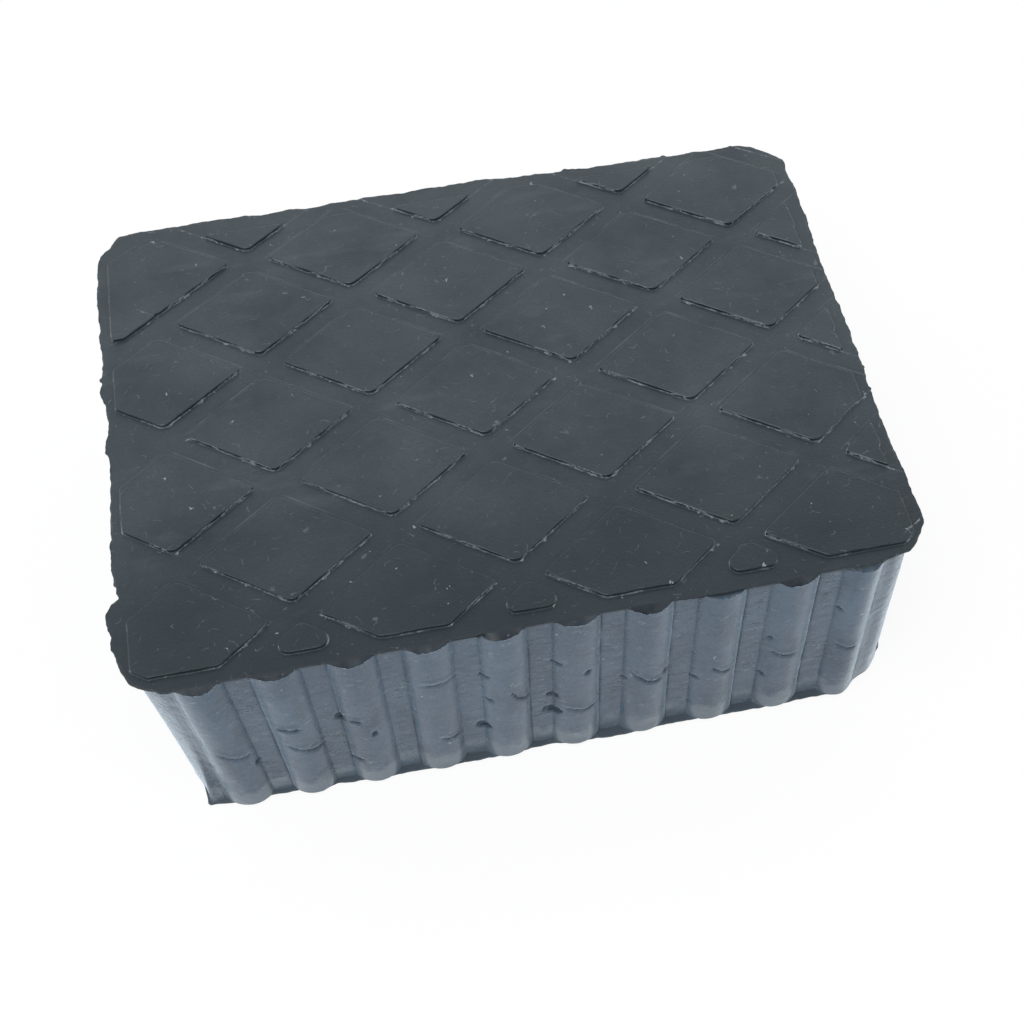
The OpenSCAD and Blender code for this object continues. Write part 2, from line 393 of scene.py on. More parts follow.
# The edge of the film, torn on three sides, from above.
top_edge = [
    (-74.3, -54.2), (-73.7, -55.0), (-72.4, -55.9), (-70.6, -56.9), (-68.8, -57.9),
    (-67.2, -58.0), (-66.4, cut_line), (26.0, cut_line), (32.0, -58.3), (45.0, -58.2),
    (50.0, cut_line), (59.6, cut_line), (65.3, -57.6), (68.3, -57.2), (71.2, -56.4),
    (72.4, -54.9), (74.0, -52.9), (75.1, -50.8), (75.8, -48.6), (75.7, -33.4), (76.0, -21.2),
    (76.9, -9.1), (77.6, 3.0), (77.5, 15.1), (78.2, 27.3), (78.9, 36.0), (79.2, 39.4),
    (79.35, 46.4), (79.1, 53.4), (78.2, 54.8), (76.1, 57.3), (73.7, 59.0), (71.1, 59.9),
    (67.0, 60.1), (52.2, 60.5), (37.4, 60.6), (22.7, 61.3), (7.9, 62.2), (-6.9, 62.0),
    (-21.7, 61.9), (-36.4, 61.8), (-51.2, 62.5), (-66.0, 62.3), (-68.8, 62.1),
    (-71.0, 61.5), (-72.2, 60.1), (-73.4, 58.3), (-74.5, 57.1), (-75.5, 56.0),
    (-76.0, 52.0), (-76.4, 48.0), (-76.5, 44.0), (-76.4, 40.0), (-76.3, 36.0),
    (-76.5, 32.0), (-76.1, 28.0), (-76.1, 24.0), (-76.3, 20.0), (-76.6, 16.0),
    (-75.9, 12.0), (-75.6, 8.0), (-75.7, 4.0), (-76.3, 0.0), (-75.5, -4.0),
    (-75.5, -8.0), (-75.7, -12.0), (-76.1, -16.0), (-75.9, -20.0), (-76.3, -24.0),
    (-76.3, -28.0), (-75.9, -32.0), (-75.7, -34.6), (-75.2, -35.8), (-76.6, -36.9),
    (-77.6, -39.5), (-77.4, -41.5), (-76.9, -44.0), (-77.1, -46.9), (-75.9, -50.2),
    (-74.8, -53.3),
]
edge_at = np.array([(*p, 0.0) for p in top_edge])
edge_way = way_round(edge_at)
edge_at, edge_way = edge_at[np.argsort(edge_way)], np.sort(edge_way)
whole_way = 4 * core_x + 4 * core_y + 2 * math.pi * corner_round


def edge_spots(way):
    """The points of the torn edge, this far round the block."""
    found = [np.interp(way, edge_way, edge_at[:, axis], period=whole_way) for axis in (0, 1)]
    return np.stack([*found, 0 * way], axis=1)


def cut_share(points):
    """How fully the knife cut runs at each point: 1 along the front, 0 elsewhere."""
    cut_end, cut_fade = 67.6, 1.2
    along_front = np.clip((cut_end - np.abs(points[:, 0])) / cut_fade, 0, 1)
    return along_front * (points[:, 1] < -50)


def cut_height(points):
    """The height of the knife cut, which falls from the edge of the top outwards."""
    rib_reach = 1.7
    slope = np.interp(points[:, 0], rib_middles, cut_falls) / rib_reach
    return top - slope * np.maximum(cut_line - points[:, 1], 0)


# The torn edge has teeth and a few longer nibs, and curls up and down.
fine_step = 0.25
fine_way = np.arange(0, whole_way, fine_step)
fine_edge = edge_spots(fine_way)
fine_out = outward(fine_edge)
fine_cut = cut_share(fine_edge)[:, None]
teeth = (0.45 * uneven(fine_edge, 4.5, 11) + 0.2 * uneven(fine_edge, 1.9, 23)
         + 0.1 * uneven(fine_edge, 0.8, 37))
nibs = np.maximum(uneven(fine_edge, 2.6, 51) - 0.52, 0) * 2.4
teeth = (teeth + nibs)[:, None]
torn_edge = fine_edge + fine_out * teeth * (1 - 0.75 * fine_cut)
curl = (0.28 * uneven(fine_edge, 7, 61) + 0.14 * uneven(fine_edge, 1.6, 67))[:, None]
curl = curl * (1 - fine_cut)
up = np.array([0.0, 0.0, 1.0])

foot = wall_at[0]
wall_way = way_round(foot)
# Where the knife met the ribs, the cut lies level with the top, without a film's edge.
on_rib = np.clip((cut_line + 0.1 - foot[:, 1]) / 0.3, 0, 1) * cut_share(foot)
on_rib_fine = np.interp(fine_way, wall_way, on_rib, period=whole_way)[:, None]


def film_ring(inset, drop, lift, cut_inset):
    """A ring of the film, inside its edge, below the top, and lifted with its curl."""
    inset = inset + (cut_inset - inset) * on_rib_fine
    return torn_edge - fine_out * inset + up * (top - drop * (1 - on_rib_fine) + curl * lift)


torn_rings = [film_ring(*ring_shape) for ring_shape in (
    (0.25, 0.5, 0.8, 0.0), (0.03, 0.4, 1, 0.06), (0.0, 0.22, 1, 0.12), (0.08, 0.04, 0.9, 0.2))]
plate_rim = fine_edge - fine_out * 0.42
plate_rim[:, 2] = top

# The wall is given the marks that it shows: creases and pits on the front, and the
# unevenness of rubber that was pulled hot from its mould.
front_pits = [
    # across, up, half width, half height, depth
    (2.0, 12.6, 1.7, 1.0, 1.0), (2.1, 18.2, 1.0, 0.6, 0.7), (-11.9, 11.4, 1.3, 0.9, 0.9),
    (-33.5, 19.0, 0.5, 0.8, 0.8), (8.8, 27.0, 0.5, 0.6, 0.7), (-39.5, 24.5, 0.9, 0.9, 0.7),
    (-38.0, 9.0, 1.1, 0.5, 0.5), (24.5, 21.0, 0.5, 0.8, 0.4), (-10.5, 22.0, 0.9, 0.35, 0.45),
    (-11.0, 30.5, 1.0, 0.3, 0.45), (30.5, 16.0, 0.9, 0.3, 0.4), (3.0, 30.5, 1.2, 0.35, 0.45),
    (-58.0, 14.0, 0.5, 0.5, 0.4), (45.0, 26.0, 0.6, 0.5, 0.35), (53.0, 15.0, 0.5, 0.6, 0.35),
    (58.5, 31.5, 0.8, 0.3, 0.4), (16.4, 20.0, 0.8, 0.3, 0.4), (44.5, 12.5, 0.9, 0.35, 0.4),
]
front_folds = [
    # across at each end, up at each end, bow, depth
    (-51.9, -47.2, 26.6, 25.6, 0.0, 0.6), (-38.0, -35.4, 24.2, 24.0, 0.1, 0.5),
    (-51.6, -43.0, 20.8, 16.0, -1.0, 0.4), (-6.6, -2.2, 25.8, 20.0, -1.3, 0.45),
    (17.0, 24.2, 24.0, 19.2, -1.6, 0.5), (33.0, 38.2, 21.6, 17.6, -1.2, 0.4),
    (-23.5, -15.0, 33.0, 31.5, 0.5, 0.25), (-65.0, -58.0, 22.0, 18.0, -0.8, 0.3),
    (4.0, 11.5, 15.0, 13.5, -0.7, 0.3), (45.0, 51.0, 22.0, 20.0, -0.8, 0.35),
    (-21.0, -16.0, 13.0, 11.5, -0.8, 0.35), (58.5, 65.0, 20.0, 18.5, -0.9, 0.3),
]


def pressed(along, up_at, pits, folds):
    """How far pits and folds are pressed into a side, at these places on it."""
    depth = 0 * along
    for x, z, w, h, d in pits:
        depth += d * np.exp(-(((along - x) / w) ** 2 + ((up_at - z) / h) ** 2) ** 2.5)
    for x0, x1, z0, z1, bow, d in folds:
        t = (along - x0) / (x1 - x0)
        off_fold = up_at - (z0 + (z1 - z0) * t + 4 * bow * t * (1 - t))
        fade = np.clip(6 * t, 0, 1) * np.clip(6 * (1 - t), 0, 1)
        depth += fade * d * np.exp(-(off_fold / 0.42) ** 2)
        depth -= fade * d * 0.4 * np.exp(-((off_fold - 0.9) / 0.6) ** 2)
    return depth


def scattered(seed, half):
    """Seeded pits and folds for a side that the photograph doesn't show."""
    draw = np.random.default_rng(seed)
    pits = [(draw.uniform(-half, half), draw.uniform(6, 38), draw.uniform(0.5, 1.3),
             draw.uniform(0.4, 0.7), draw.uniform(0.3, 0.7)) for _ in range(12)]
    folds = []
    for _ in range(9):
        x0, z0 = draw.uniform(-half, half - 9), draw.uniform(14, 30)
        folds.append((x0, x0 + draw.uniform(4, 9), z0, z0 + draw.uniform(-1.5, 1.5),
                      draw.uniform(-1, 0.6), draw.uniform(0.25, 0.45)))
    return pits, folds


wall_out = outward(foot)
near = np.clip(foot[:, :2], (-core_x, -core_y), (core_x, core_y))
reach = np.linalg.norm(foot[:, :2] - near, axis=1)
facing = {
    "front": foot[:, 1] < -core_y, "back": foot[:, 1] > core_y,
    "right": (foot[:, 0] > core_x) & (abs(foot[:, 1]) <= core_y),
    "left": (foot[:, 0] < -core_x) & (abs(foot[:, 1]) <= core_y),
}
marks = {
    "front": (0, front_pits, front_folds), "back": (0, *scattered(6, core_x)),
    "right": (1, *scattered(5, core_y)), "left": (1, *scattered(7, core_y)),
}
# Between the ribs the wall is no further from the core than its corner radius.
in_gap = np.clip((9.9 - reach) / 0.9, 0, 1)

chips = 0.4 * uneven(foot, 2.4, 79) + 0.4 * uneven(foot, 1.1, 80) + 0.2 * uneven(foot, 0.6, 82)
wall_top = top - film_thickness
wall_top = wall_top + (cut_height(foot) + np.minimum(chips, 0.15) - wall_top) * on_rib
wall_cut = cut_share(foot)
# In two places the film stands open along the front, and a painted shadow under it shows
# as a dark line.
slit_shadow = 0 * foot[:, 0]
for slit_x, slit_half in ((31.9, 7.2), (-13.0, 3.6)):
    one_slit_shadow = np.clip((slit_half - abs(foot[:, 0] - slit_x)) / 0.8, 0, 1)
    slit_shadow = np.maximum(slit_shadow, one_slit_shadow)
slit_shadow = slit_shadow * wall_cut
cut_shade = np.interp(foot[:, 0], rib_middles, cut_shades)
cut_shade = cut_shade * np.clip(0.85 + 1.2 * uneven(foot, 3.2, 85), 0.2, 1)
# Where a rib meets the wall runs a fine crease, deeper on the side away from the middle,
# and painted shade darkens it, most on that side.
crease = 0 * reach
crease_width = 0.3
for side_name, on_side in facing.items():
    along = foot[on_side, marks[side_name][0]]
    end_side = side_name in ("right", "left")
    off_middle = along - pitch * (np.floor(along / pitch) + 0.5)
    fold_in = np.exp(-((abs(off_middle) - rib_across / 2) / crease_width) ** 2)
    outer = off_middle * (along + (14 if side_name == "front" else 0)) > 0
    last_edge = 53.6 if end_side else 67.5
    crease[on_side] = fold_in * np.where(outer, 0.85, 0.15) * (abs(along) < last_edge)
    if end_side:
        crease[on_side] *= along > -42

foot_top = 0.6
# The front left corner was pulled out to a point at the foot, with its film.
spoke = np.arctan2(foot[:, 1] - near[:, 1], foot[:, 0] - near[:, 0])
pull = np.exp(-abs(np.degrees(spoke) + 131.8) / 16)
rings, wall_tones = [], []
for level in wall_at:
    risen = level[0, 2] / top
    ring = level.copy()
    ring[:, 2] = foot_top + (wall_top - foot_top) * risen
    dent = -0.09 * uneven(ring, 9, 3) - 0.05 * uneven(ring, 3, 5, (1, 1, 0.5))
    dent += (0.01 + 0.05 * in_gap) * uneven(ring, 2.4, 7, (0.55, 0.55, 2.2))
    near_foot = np.clip((7 - ring[:, 2]) / 5, 0, 1)
    dent += 0.3 * near_foot * np.maximum(uneven(ring, 4, 9), 0)
    pit = 0 * reach
    for side_name, on_side in facing.items():
        axis, pits, folds = marks[side_name]
        pit[on_side] = pressed(ring[on_side, axis], ring[on_side, 2], pits, folds)
    dent += pit + 0.12 * crease
    # The crease is painted dark as shade, patchy along its length.
    crease_shade = crease * np.clip(0.75 + uneven(ring, 6, 91), 0.3, 1)
    # Below a slit the top of each gap is painted dark as shadow.
    shadow_below_slit = slit_shadow * (1 - on_rib) * np.clip((ring[:, 2] - top + 1.5) / 0.5, 0, 1)
    # Pits and folds are painted dark as shade where they are pressed about 0.42 mm in.
    pit_shade = 0.85 * np.clip(1.4 - abs(pit - 0.42) / 0.22, 0, 1)
    wall_tones.append(np.clip(np.maximum.reduce([pit_shade, 0.8 * crease_shade, shadow_below_slit]), 0, 0.9))
    hold = np.clip(min(risen, 1 - risen) * 16, 0, 1)
    flare = 3.3 * pull * np.clip(1 - ring[:, 2] / 22, 0, 1) ** 2
    rings.append(ring + wall_out * (flare - dent * hold)[:, None])

# The film along the foot of the block partly fills the gaps between the ribs.
gap_middles = [-55.4 + pitch * k for k in range(9)]
gap_fills = [9.9, 10.2, 10.6, 10.7, 10.2, 11.1, 10.6, 10.8, 10.7]
flush = np.where(facing["front"], np.interp(foot[:, 0], gap_middles, gap_fills),
                 10.6 + 0.6 * uneven(foot, 9, 71))
flush += 0.3 * uneven(foot, 3, 75) - 0.9 * np.sin(2 * spoke) ** 2
flush -= 1.4 * np.exp(-((np.degrees(spoke) + 45) / 30) ** 2)
flush += 4.3 * pull
flush = np.maximum(flush, reach) + 0.12 * uneven(foot, 1.6, 73)
foot_edge = foot.copy()
foot_edge[:, :2] = near + (foot[:, :2] - near) * (flush / reach)[:, None]
foot_out = outward(foot_edge)
foot_rings = []
for ring_inset, ring_z in ((0.25, 0.0), (0.0, 0.18), (0.06, 0.48)):
    ring = foot_edge - foot_out * ring_inset
    ring[:, 2] = ring_z
    foot_rings.append(ring)
foot_rings.append(foot_rings[-1] * 0.06 + rings[0] * 0.94)
# What each ring shows: the wall's bloom, freshly torn or cut rubber together with painted
# shade, and the wrinkled gaps.
full = np.ones(len(foot))
# The film at the foot is darkened, partly as bare rubber and partly as painted shade.
looks = [(full, 0.55 * full, 0 * full)] * len(foot_rings)
looks += [(full, tone, in_gap) for tone in wall_tones]
rings = foot_rings + rings

# Between the wall and the film's edge the underside of the film hangs out, or at the
# front the knife's rough cut rises to the top.
film_at = edge_spots(wall_way)
last_ring = rings[-1]
cut_bloom = np.interp(foot[:, 0], rib_middles, cut_blooms) * on_rib
film_shade = 0.4 - 0.25 * wall_cut
for outwards, cut_depth in ((0.06, 1.0), (0.35, 0.9), (0.75, 0.8)):
    at_edge = outwards > 0.7
    ring = last_ring + (film_at - last_ring) * outwards
    jagged = 0.14 * uneven(ring, 1.1, 81) + 0.08 * uneven(ring, 0.6, 83)
    under = top - film_thickness * (1 - 0.1 * outwards)
    on_cut = cut_height(ring) + (jagged + chips - 0.1) * (1 - outwards)
    ring[:, 2] = under + (on_cut - under) * on_rib
    rings.append(ring)
    patchy = np.clip(1 + 0.6 * uneven(ring, 1.3, 87), 0.5, 1)
    shade = film_shade + (cut_shade * cut_depth * patchy - film_shade) * on_rib
    # At the slits the film's edge is painted dark as shadow.
    shade = np.maximum(shade, slit_shadow * at_edge)
    looks.append((cut_bloom * (not at_edge), shade, 0 * full))

# The diamond studs
# Low diamonds of the same rubber stand on the top in a staggered lattice, so that a car
# doesn't slide. They are cut off straight at the borders, three small rounded ones fill
# the gaps along the front, and one runs out into the back left corner.

stud_sizes = {
    "Half length": 16.66 * MM, "Half width": 12.45 * MM, "Tip radius": 0.7 * MM,
    "Blunt radius": 2.1 * MM, "Height": 0.8 * MM, "Tile X": 21 * MM, "Tile Y": 15.7 * MM,
    "Shift": -1.4 * MM, "Left": -73.8 * MM, "Right": 72.6 * MM, "Lean": 3.4 * MM,
    "Front": -54.7 * MM, "Back": 57.1 * MM, "Most cut": 0.62, "Run-out": 17.5 * MM,
    "Small shift": -42.5 * MM, "Wobble": 0.12 * MM, "Seed": 4,
}
studs, get = new_tree("diamond studs", stud_sizes)


def work(operation, *terms):
    """One step of arithmetic for the studs."""
    return calc(studs, operation, *terms)


# The section of a stud's edge: a little foot on the top's floor, a steep side and a small
# round. The line marks its foot, where dust stays, and its rim, where wear and a painted
# highlight lighten it.
section = [
    # out in millimetres, up as a share of the height, line
    (0.3, 0.0, 0), (0.0, 0.03, 1), (-0.05, 0.5, 0), (-0.08, 0.88, -1), (-0.2, 1.0, 0),
]
section_step = put(studs, "GeometryNodeInputIndex").outputs[0]
section_at = put(studs, "GeometryNodeIndexSwitch", {0: section_step}, data_type="VECTOR")
section_line = put(studs, "GeometryNodeIndexSwitch", {0: section_step}, data_type="FLOAT")
for switch in (section_at, section_line):
    while len(switch.index_switch_items) < len(section):
        switch.index_switch_items.new()
for socket_number, (out_by, up_by, line_kind) in enumerate(section, 1):
    section_spot = put(studs, "ShaderNodeCombineXYZ", {
        0: out_by * MM, 1: work("MULTIPLY", get["Height"], -up_by)})
    studs.links.new(section_spot.outputs[0], section_at.inputs[socket_number])
    section_line.inputs[socket_number].default_value = line_kind
rim = put(studs, "GeometryNodeMeshLine", {"Count": len(section)})
rim = put(studs, "GeometryNodeSetPosition", {
    "Geometry": rim.outputs[0], "Position": section_at.outputs[0]})
rim = stored(studs, rim.outputs[0], "inset", work("MULTIPLY", position(studs)[0], -1.0))
rim = stored(studs, rim, "line", section_line.outputs[0])
rim = put(studs, "GeometryNodeMeshToCurve", {"Mesh": rim})


def centred(points):
    """The points, each with its own place noted as the centre of the stud set on it."""
    at = put(studs, "GeometryNodeInputPosition").outputs[0]
    return stored(studs, points, "centre", at, "FLOAT_VECTOR")


def rimmed(outline, points):
    """A stud's edge all round, from its outline."""
    even = put(studs, "GeometryNodeResampleCurve", {"Curve": outline, "Count": points})
    return put(studs, "GeometryNodeCurveToMesh", {
        "Curve": even.outputs[0], "Profile Curve": rim.outputs[0]}).outputs[0]


diamond = put(studs, "GeometryNodeCurvePrimitiveQuadrilateral", {
    "Width": work("MULTIPLY", get["Half length"], 2.0),
    "Bottom Height": get["Half width"], "Top Height": get["Half width"]}, mode="KITE")
is_tip = work("GREATER_THAN", work("ABSOLUTE", position(studs)[0]), 5 * MM)
rounding = work("SUBTRACT", get["Tip radius"], get["Blunt radius"])
rounding = work("MULTIPLY_ADD", is_tip, rounding, get["Blunt radius"])
diamond = put(studs, "GeometryNodeFilletCurve", {
    "Curve": diamond.outputs[0], "Count": 8, "Radius": rounding}, mode="POLY")
diamond = rimmed(diamond.outputs[0], 116)

lattice = put(studs, "GeometryNodeMeshGrid", {
    "Size X": work("MULTIPLY", get["Tile X"], 10.0),
    "Size Y": work("MULTIPLY", get["Tile Y"], 10.0), "Vertices X": 11, "Vertices Y": 11})
lattice_at = position(studs)
tile_sum = work("ROUND", work("ADD", work("DIVIDE", lattice_at[0], get["Tile X"]),
                              work("DIVIDE", lattice_at[1], get["Tile Y"])))
odd = work("FLOORED_MODULO", tile_sum, 2.0)
stud_x = work("ADD", lattice_at[0], get["Shift"])
past_x = work("MAXIMUM", work("SUBTRACT", stud_x, get["Right"]),
              work("SUBTRACT", get["Left"], stud_x))
past_y = work("MAXIMUM", work("SUBTRACT", lattice_at[1], get["Back"]),
              work("SUBTRACT", get["Front"], lattice_at[1]))
past = work("ADD", work("DIVIDE", work("MAXIMUM", past_x, 0.0), get["Half length"]),
            work("DIVIDE", work("MAXIMUM", past_y, 0.0), get["Half width"]))
dropped = work("MAXIMUM", odd, work("GREATER_THAN", past, get["Most cut"]))
lattice = put(studs, "GeometryNodeDeleteGeometry", {
    "Geometry": lattice.outputs[0], "Selection": dropped}, domain="POINT")
shift = put(studs, "ShaderNodeCombineXYZ", {0: get["Shift"]})
lattice = put(studs, "GeometryNodeTransform", {
    "Geometry": lattice.outputs[0], "Translation": shift.outputs[0]})
diamonds = put(studs, "GeometryNodeInstanceOnPoints", {
    "Points": centred(lattice.outputs[0]), "Instance": diamond})

# The small rounded studs of the front gaps start as a wide triangle.
wedge = put(studs, "GeometryNodeCurvePrimitiveCircle", {"Resolution": 3, "Radius": 1.0})
wedge = put(studs, "GeometryNodeTransform", {
    "Geometry": wedge.outputs[0], "Rotation": (0, 0, math.pi / 2)})
wedge = put(studs, "GeometryNodeTransform", {
    "Geometry": wedge.outputs[0], "Translation": (0, 2.17 * MM, 0),
    "Scale": (9.35 * MM, 4.33 * MM, 1)})
wedge = put(studs, "GeometryNodeFilletCurve", {
    "Curve": wedge.outputs[0], "Count": 8, "Radius": 1.9 * MM}, mode="POLY")
gaps_at = put(studs, "ShaderNodeCombineXYZ", {0: get["Small shift"], 1: get["Front"]})
gaps_by = put(studs, "ShaderNodeCombineXYZ", {0: work("MULTIPLY", get["Tile X"], 2.0)})
gaps = put(studs, "GeometryNodeMeshLine", {
    "Count": 3, "Start Location": gaps_at.outputs[0], "Offset": gaps_by.outputs[0]})
wedges = put(studs, "GeometryNodeInstanceOnPoints", {
    "Points": centred(gaps.outputs[0]), "Instance": rimmed(wedge.outputs[0], 44)})

both = put(studs, "GeometryNodeJoinGeometry", {0: [diamonds.outputs[0], wedges.outputs[0]]})
both = put(studs, "GeometryNodeRealizeInstances", {0: both.outputs[0]})
part_at = position(studs)
# The stud in the back left corner: what lies to its lower left is mirrored outwards.
far_x = work("SUBTRACT", get["Shift"], work("MULTIPLY", get["Tile X"], 3.0))
far_y = work("MULTIPLY", get["Tile Y"], 3.0)
left_by = work("SUBTRACT", far_x, part_at[0])
down_by = work("SUBTRACT", far_y, part_at[1])
lower_left = work("GREATER_THAN", left_by, 0.0)
for condition in (work("GREATER_THAN", down_by, 0.0),
                  work("LESS_THAN", down_by, get["Half width"]),
                  work("LESS_THAN", left_by, get["Half length"])):
    lower_left = work("MULTIPLY", lower_left, condition)
fall = work("MULTIPLY", left_by, work("DIVIDE", get["Half width"], get["Half length"]))
fall = work("MULTIPLY", work("MULTIPLY", fall, -2.0), lower_left)
lowest = work("SUBTRACT", far_y, get["Run-out"])
part_y = work("ADD", part_at[1], fall)
too_low = work("MAXIMUM", work("SUBTRACT", lowest, part_y), 0.0)
part_y = work("ADD", part_y, work("MULTIPLY", lower_left, too_low))
# The stud in the front right corner: its lower right side lies further out, so that its
# front edge runs on to the border.
corner_growth = 0.12
corner_x = work("MULTIPLY_ADD", get["Tile X"], 3.0, get["Shift"])
right_by = work("SUBTRACT", part_at[0], corner_x)
low_by = work("SUBTRACT", work("MULTIPLY", far_y, -1.0), part_y)
grown = work("MULTIPLY", work("GREATER_THAN", right_by, 0.0), work("GREATER_THAN", low_by, 0.0))
grown = work("MULTIPLY", grown, corner_growth)
part_x = work("MULTIPLY_ADD", right_by, grown, part_at[0])
part_y = work("SUBTRACT", part_y, work("MULTIPLY", low_by, grown))
# The borders cut the studs off straight: what lies past one is drawn in towards the
# stud's middle. The right border leans outwards to the back.
rim_inset = put(studs, "GeometryNodeInputNamedAttribute", {"Name": "inset"}, data_type="FLOAT")
rim_inset = rim_inset.outputs[0]
stud_middle = put(studs, "GeometryNodeInputNamedAttribute", {"Name": "centre"},
                  data_type="FLOAT_VECTOR")
stud_middle = put(studs, "ShaderNodeSeparateXYZ", {0: stud_middle.outputs[0]}).outputs
share_back = work("DIVIDE", work("SUBTRACT", part_y, get["Front"]),
                  work("SUBTRACT", get["Back"], get["Front"]))
right_border = work("MULTIPLY_ADD", share_back, get["Lean"], get["Right"])
margin = 1.2 * MM
middle_x = work("MINIMUM", stud_middle[0], work("SUBTRACT", right_border, margin))
middle_x = work("MAXIMUM", middle_x, work("ADD", get["Left"], margin))
middle_y = work("MINIMUM", stud_middle[1], work("SUBTRACT", get["Back"], margin))
middle_y = work("MAXIMUM", middle_y, work("ADD", get["Front"], margin))
kept_share = 1.0
nearly_none = 0.001 * MM
for border, outer_at, inner_at, is_upper in (
        (right_border, part_x, middle_x, True), (get["Back"], part_y, middle_y, True),
        (get["Left"], part_x, middle_x, False), (get["Front"], part_y, middle_y, False)):
    if is_upper:
        room_left = work("SUBTRACT", work("SUBTRACT", border, rim_inset), inner_at)
        reaches = work("SUBTRACT", outer_at, inner_at)
    else:
        room_left = work("SUBTRACT", inner_at, work("ADD", border, rim_inset))
        reaches = work("SUBTRACT", inner_at, outer_at)
    reaches = work("MAXIMUM", reaches, nearly_none)
    kept_share = work("MINIMUM", kept_share, work("DIVIDE", room_left, reaches))
part_x = work("MULTIPLY_ADD", work("SUBTRACT", part_x, middle_x), kept_share, middle_x)
part_y = work("MULTIPLY_ADD", work("SUBTRACT", part_y, middle_y), kept_share, middle_y)
cut_back = put(studs, "ShaderNodeCombineXYZ", {0: part_x, 1: part_y, 2: part_at[2]})
both = put(studs, "GeometryNodeSetPosition", {
    "Geometry": both.outputs[0], "Position": cut_back.outputs[0]})
both = put(studs, "GeometryNodeMergeByDistance", {
    "Geometry": both.outputs[0], "Distance": 0.03 * MM})
# No edge is quite straight: each point drifts a little in the level.
drift = put(studs, "ShaderNodeTexNoise", {"Scale": 160.0, "Detail": 3.0, "W": get["Seed"]},
            noise_dimensions="4D")
drift = put(studs, "ShaderNodeVectorMath", {0: drift.outputs["Color"], 1: (0.5, 0.5, 0.5)},
            operation="SUBTRACT")
wobble = work("MULTIPLY", get["Wobble"], 4.0)
wobble = put(studs, "ShaderNodeCombineXYZ", {0: wobble, 1: wobble})
drift = put(studs, "ShaderNodeVectorMath", {0: drift.outputs[0], 1: wobble.outputs[0]},
            operation="MULTIPLY")
both = put(studs, "GeometryNodeSetPosition", {
    "Geometry": both.outputs[0], "Offset": drift.outputs[0]})
close_tree(studs, both.outputs[0], rubber)
stud_mesh = grow(studs, stud_sizes)

# The moulding
# All of it is one piece of rubber, cured in a steel mould: the wall, the film and the
# studs are closed into one skin over a flat underside.

# The part's origin lies under the middle of its torn flash, so the block's own middle is
# a little to the front left of it.
block_centre = Vector((-0.87736, -1.31655, 0)) * MM
skin_points, skin_faces, skin_looks = [], [], []


def add_ring(ring, look):
    """Add a ring's points with their looks, and give their numbers."""
    first = len(skin_points)
    skin_points.extend(ring.tolist())
    skin_looks.extend(zip(*look))
    return list(range(first, len(skin_points)))


def join_rings(below, above):
    """Close the gap between two rings with as many points each."""
    for k in range(len(below)):
        n = (k + 1) % len(below)
        skin_faces.append((below[k], below[n], above[n], above[k]))


def zip_rings(below, below_way, above, above_way):
    """Close the gap between two rings with different numbers of points."""
    a = b = 0
    a_count, b_count = len(below), len(above)
    a_way = np.append(below_way, below_way[0] + whole_way)
    b_way = np.append(above_way, above_way[0] + whole_way)
    while a < a_count or b < b_count:
        if b == b_count or (a < a_count and a_way[a + 1] <= b_way[b + 1]):
            skin_faces.append((below[a], below[(a + 1) % a_count], above[b % b_count]))
            a += 1
        else:
            skin_faces.append((below[a % a_count], above[(b + 1) % b_count], above[b]))
            b += 1


ring_ids = [add_ring(ring, look) for ring, look in zip(rings, looks)]
for below, above in zip(ring_ids, ring_ids[1:]):
    join_rings(below, above)
# The film's edge is freshly torn, with a painted shadow at the slits, and the tear fades on
# to the top.
film_tone = 0.5 - 0.4 * fine_cut[:, 0]
cut_tone = 0.7 * np.interp(fine_way, wall_way, cut_shade, period=whole_way)
film_tone = film_tone + (cut_tone - film_tone) * on_rib_fine[:, 0]
film_tone = np.maximum(film_tone, np.interp(fine_way, wall_way, slit_shadow, period=whole_way))
edge_looks = [(0 * fine_way, film_tone * torn, 0 * fine_way) for torn in (1, 1, 1, 0.4, 0)]
torn_ids = [add_ring(ring, look) for ring, look in zip(torn_rings + [plate_rim], edge_looks)]
zip_rings(ring_ids[-1], wall_way, torn_ids[0], fine_way)
for below, above in zip(torn_ids, torn_ids[1:]):
    join_rings(below, above)
skin_faces.append(tuple(reversed(ring_ids[0])))

skin = bpy.data.meshes.new("rubber_block")
skin.from_pydata(skin_points, [], skin_faces)
stud_at = places(stud_mesh) / MM + (0, 0, top)
stud_lines = numbers(stud_mesh, "line")
stud_mesh.vertices.foreach_set("co", stud_at.ravel())
body = bmesh.new()
body.from_mesh(skin)
body.from_mesh(stud_mesh)
body.verts.index_update()
body.verts.ensure_lookup_table()


def open_loops(edges):
    """Closed loops of points along these open edges."""
    next_to = {}
    for edge in edges:
        for vert in edge.verts:
            next_to.setdefault(vert, []).append(edge.other_vert(vert))
    loops, used = [], set()
    for start in next_to:
        if start in used:
            continue
        loop, before, now = [start], None, start
        used.add(start)
        while True:
            before, now = now, next(v for v in next_to[now] if v is not before)
            if now in used:
                break
            loop.append(now)
            used.add(now)
        loops.append(loop)
    return loops


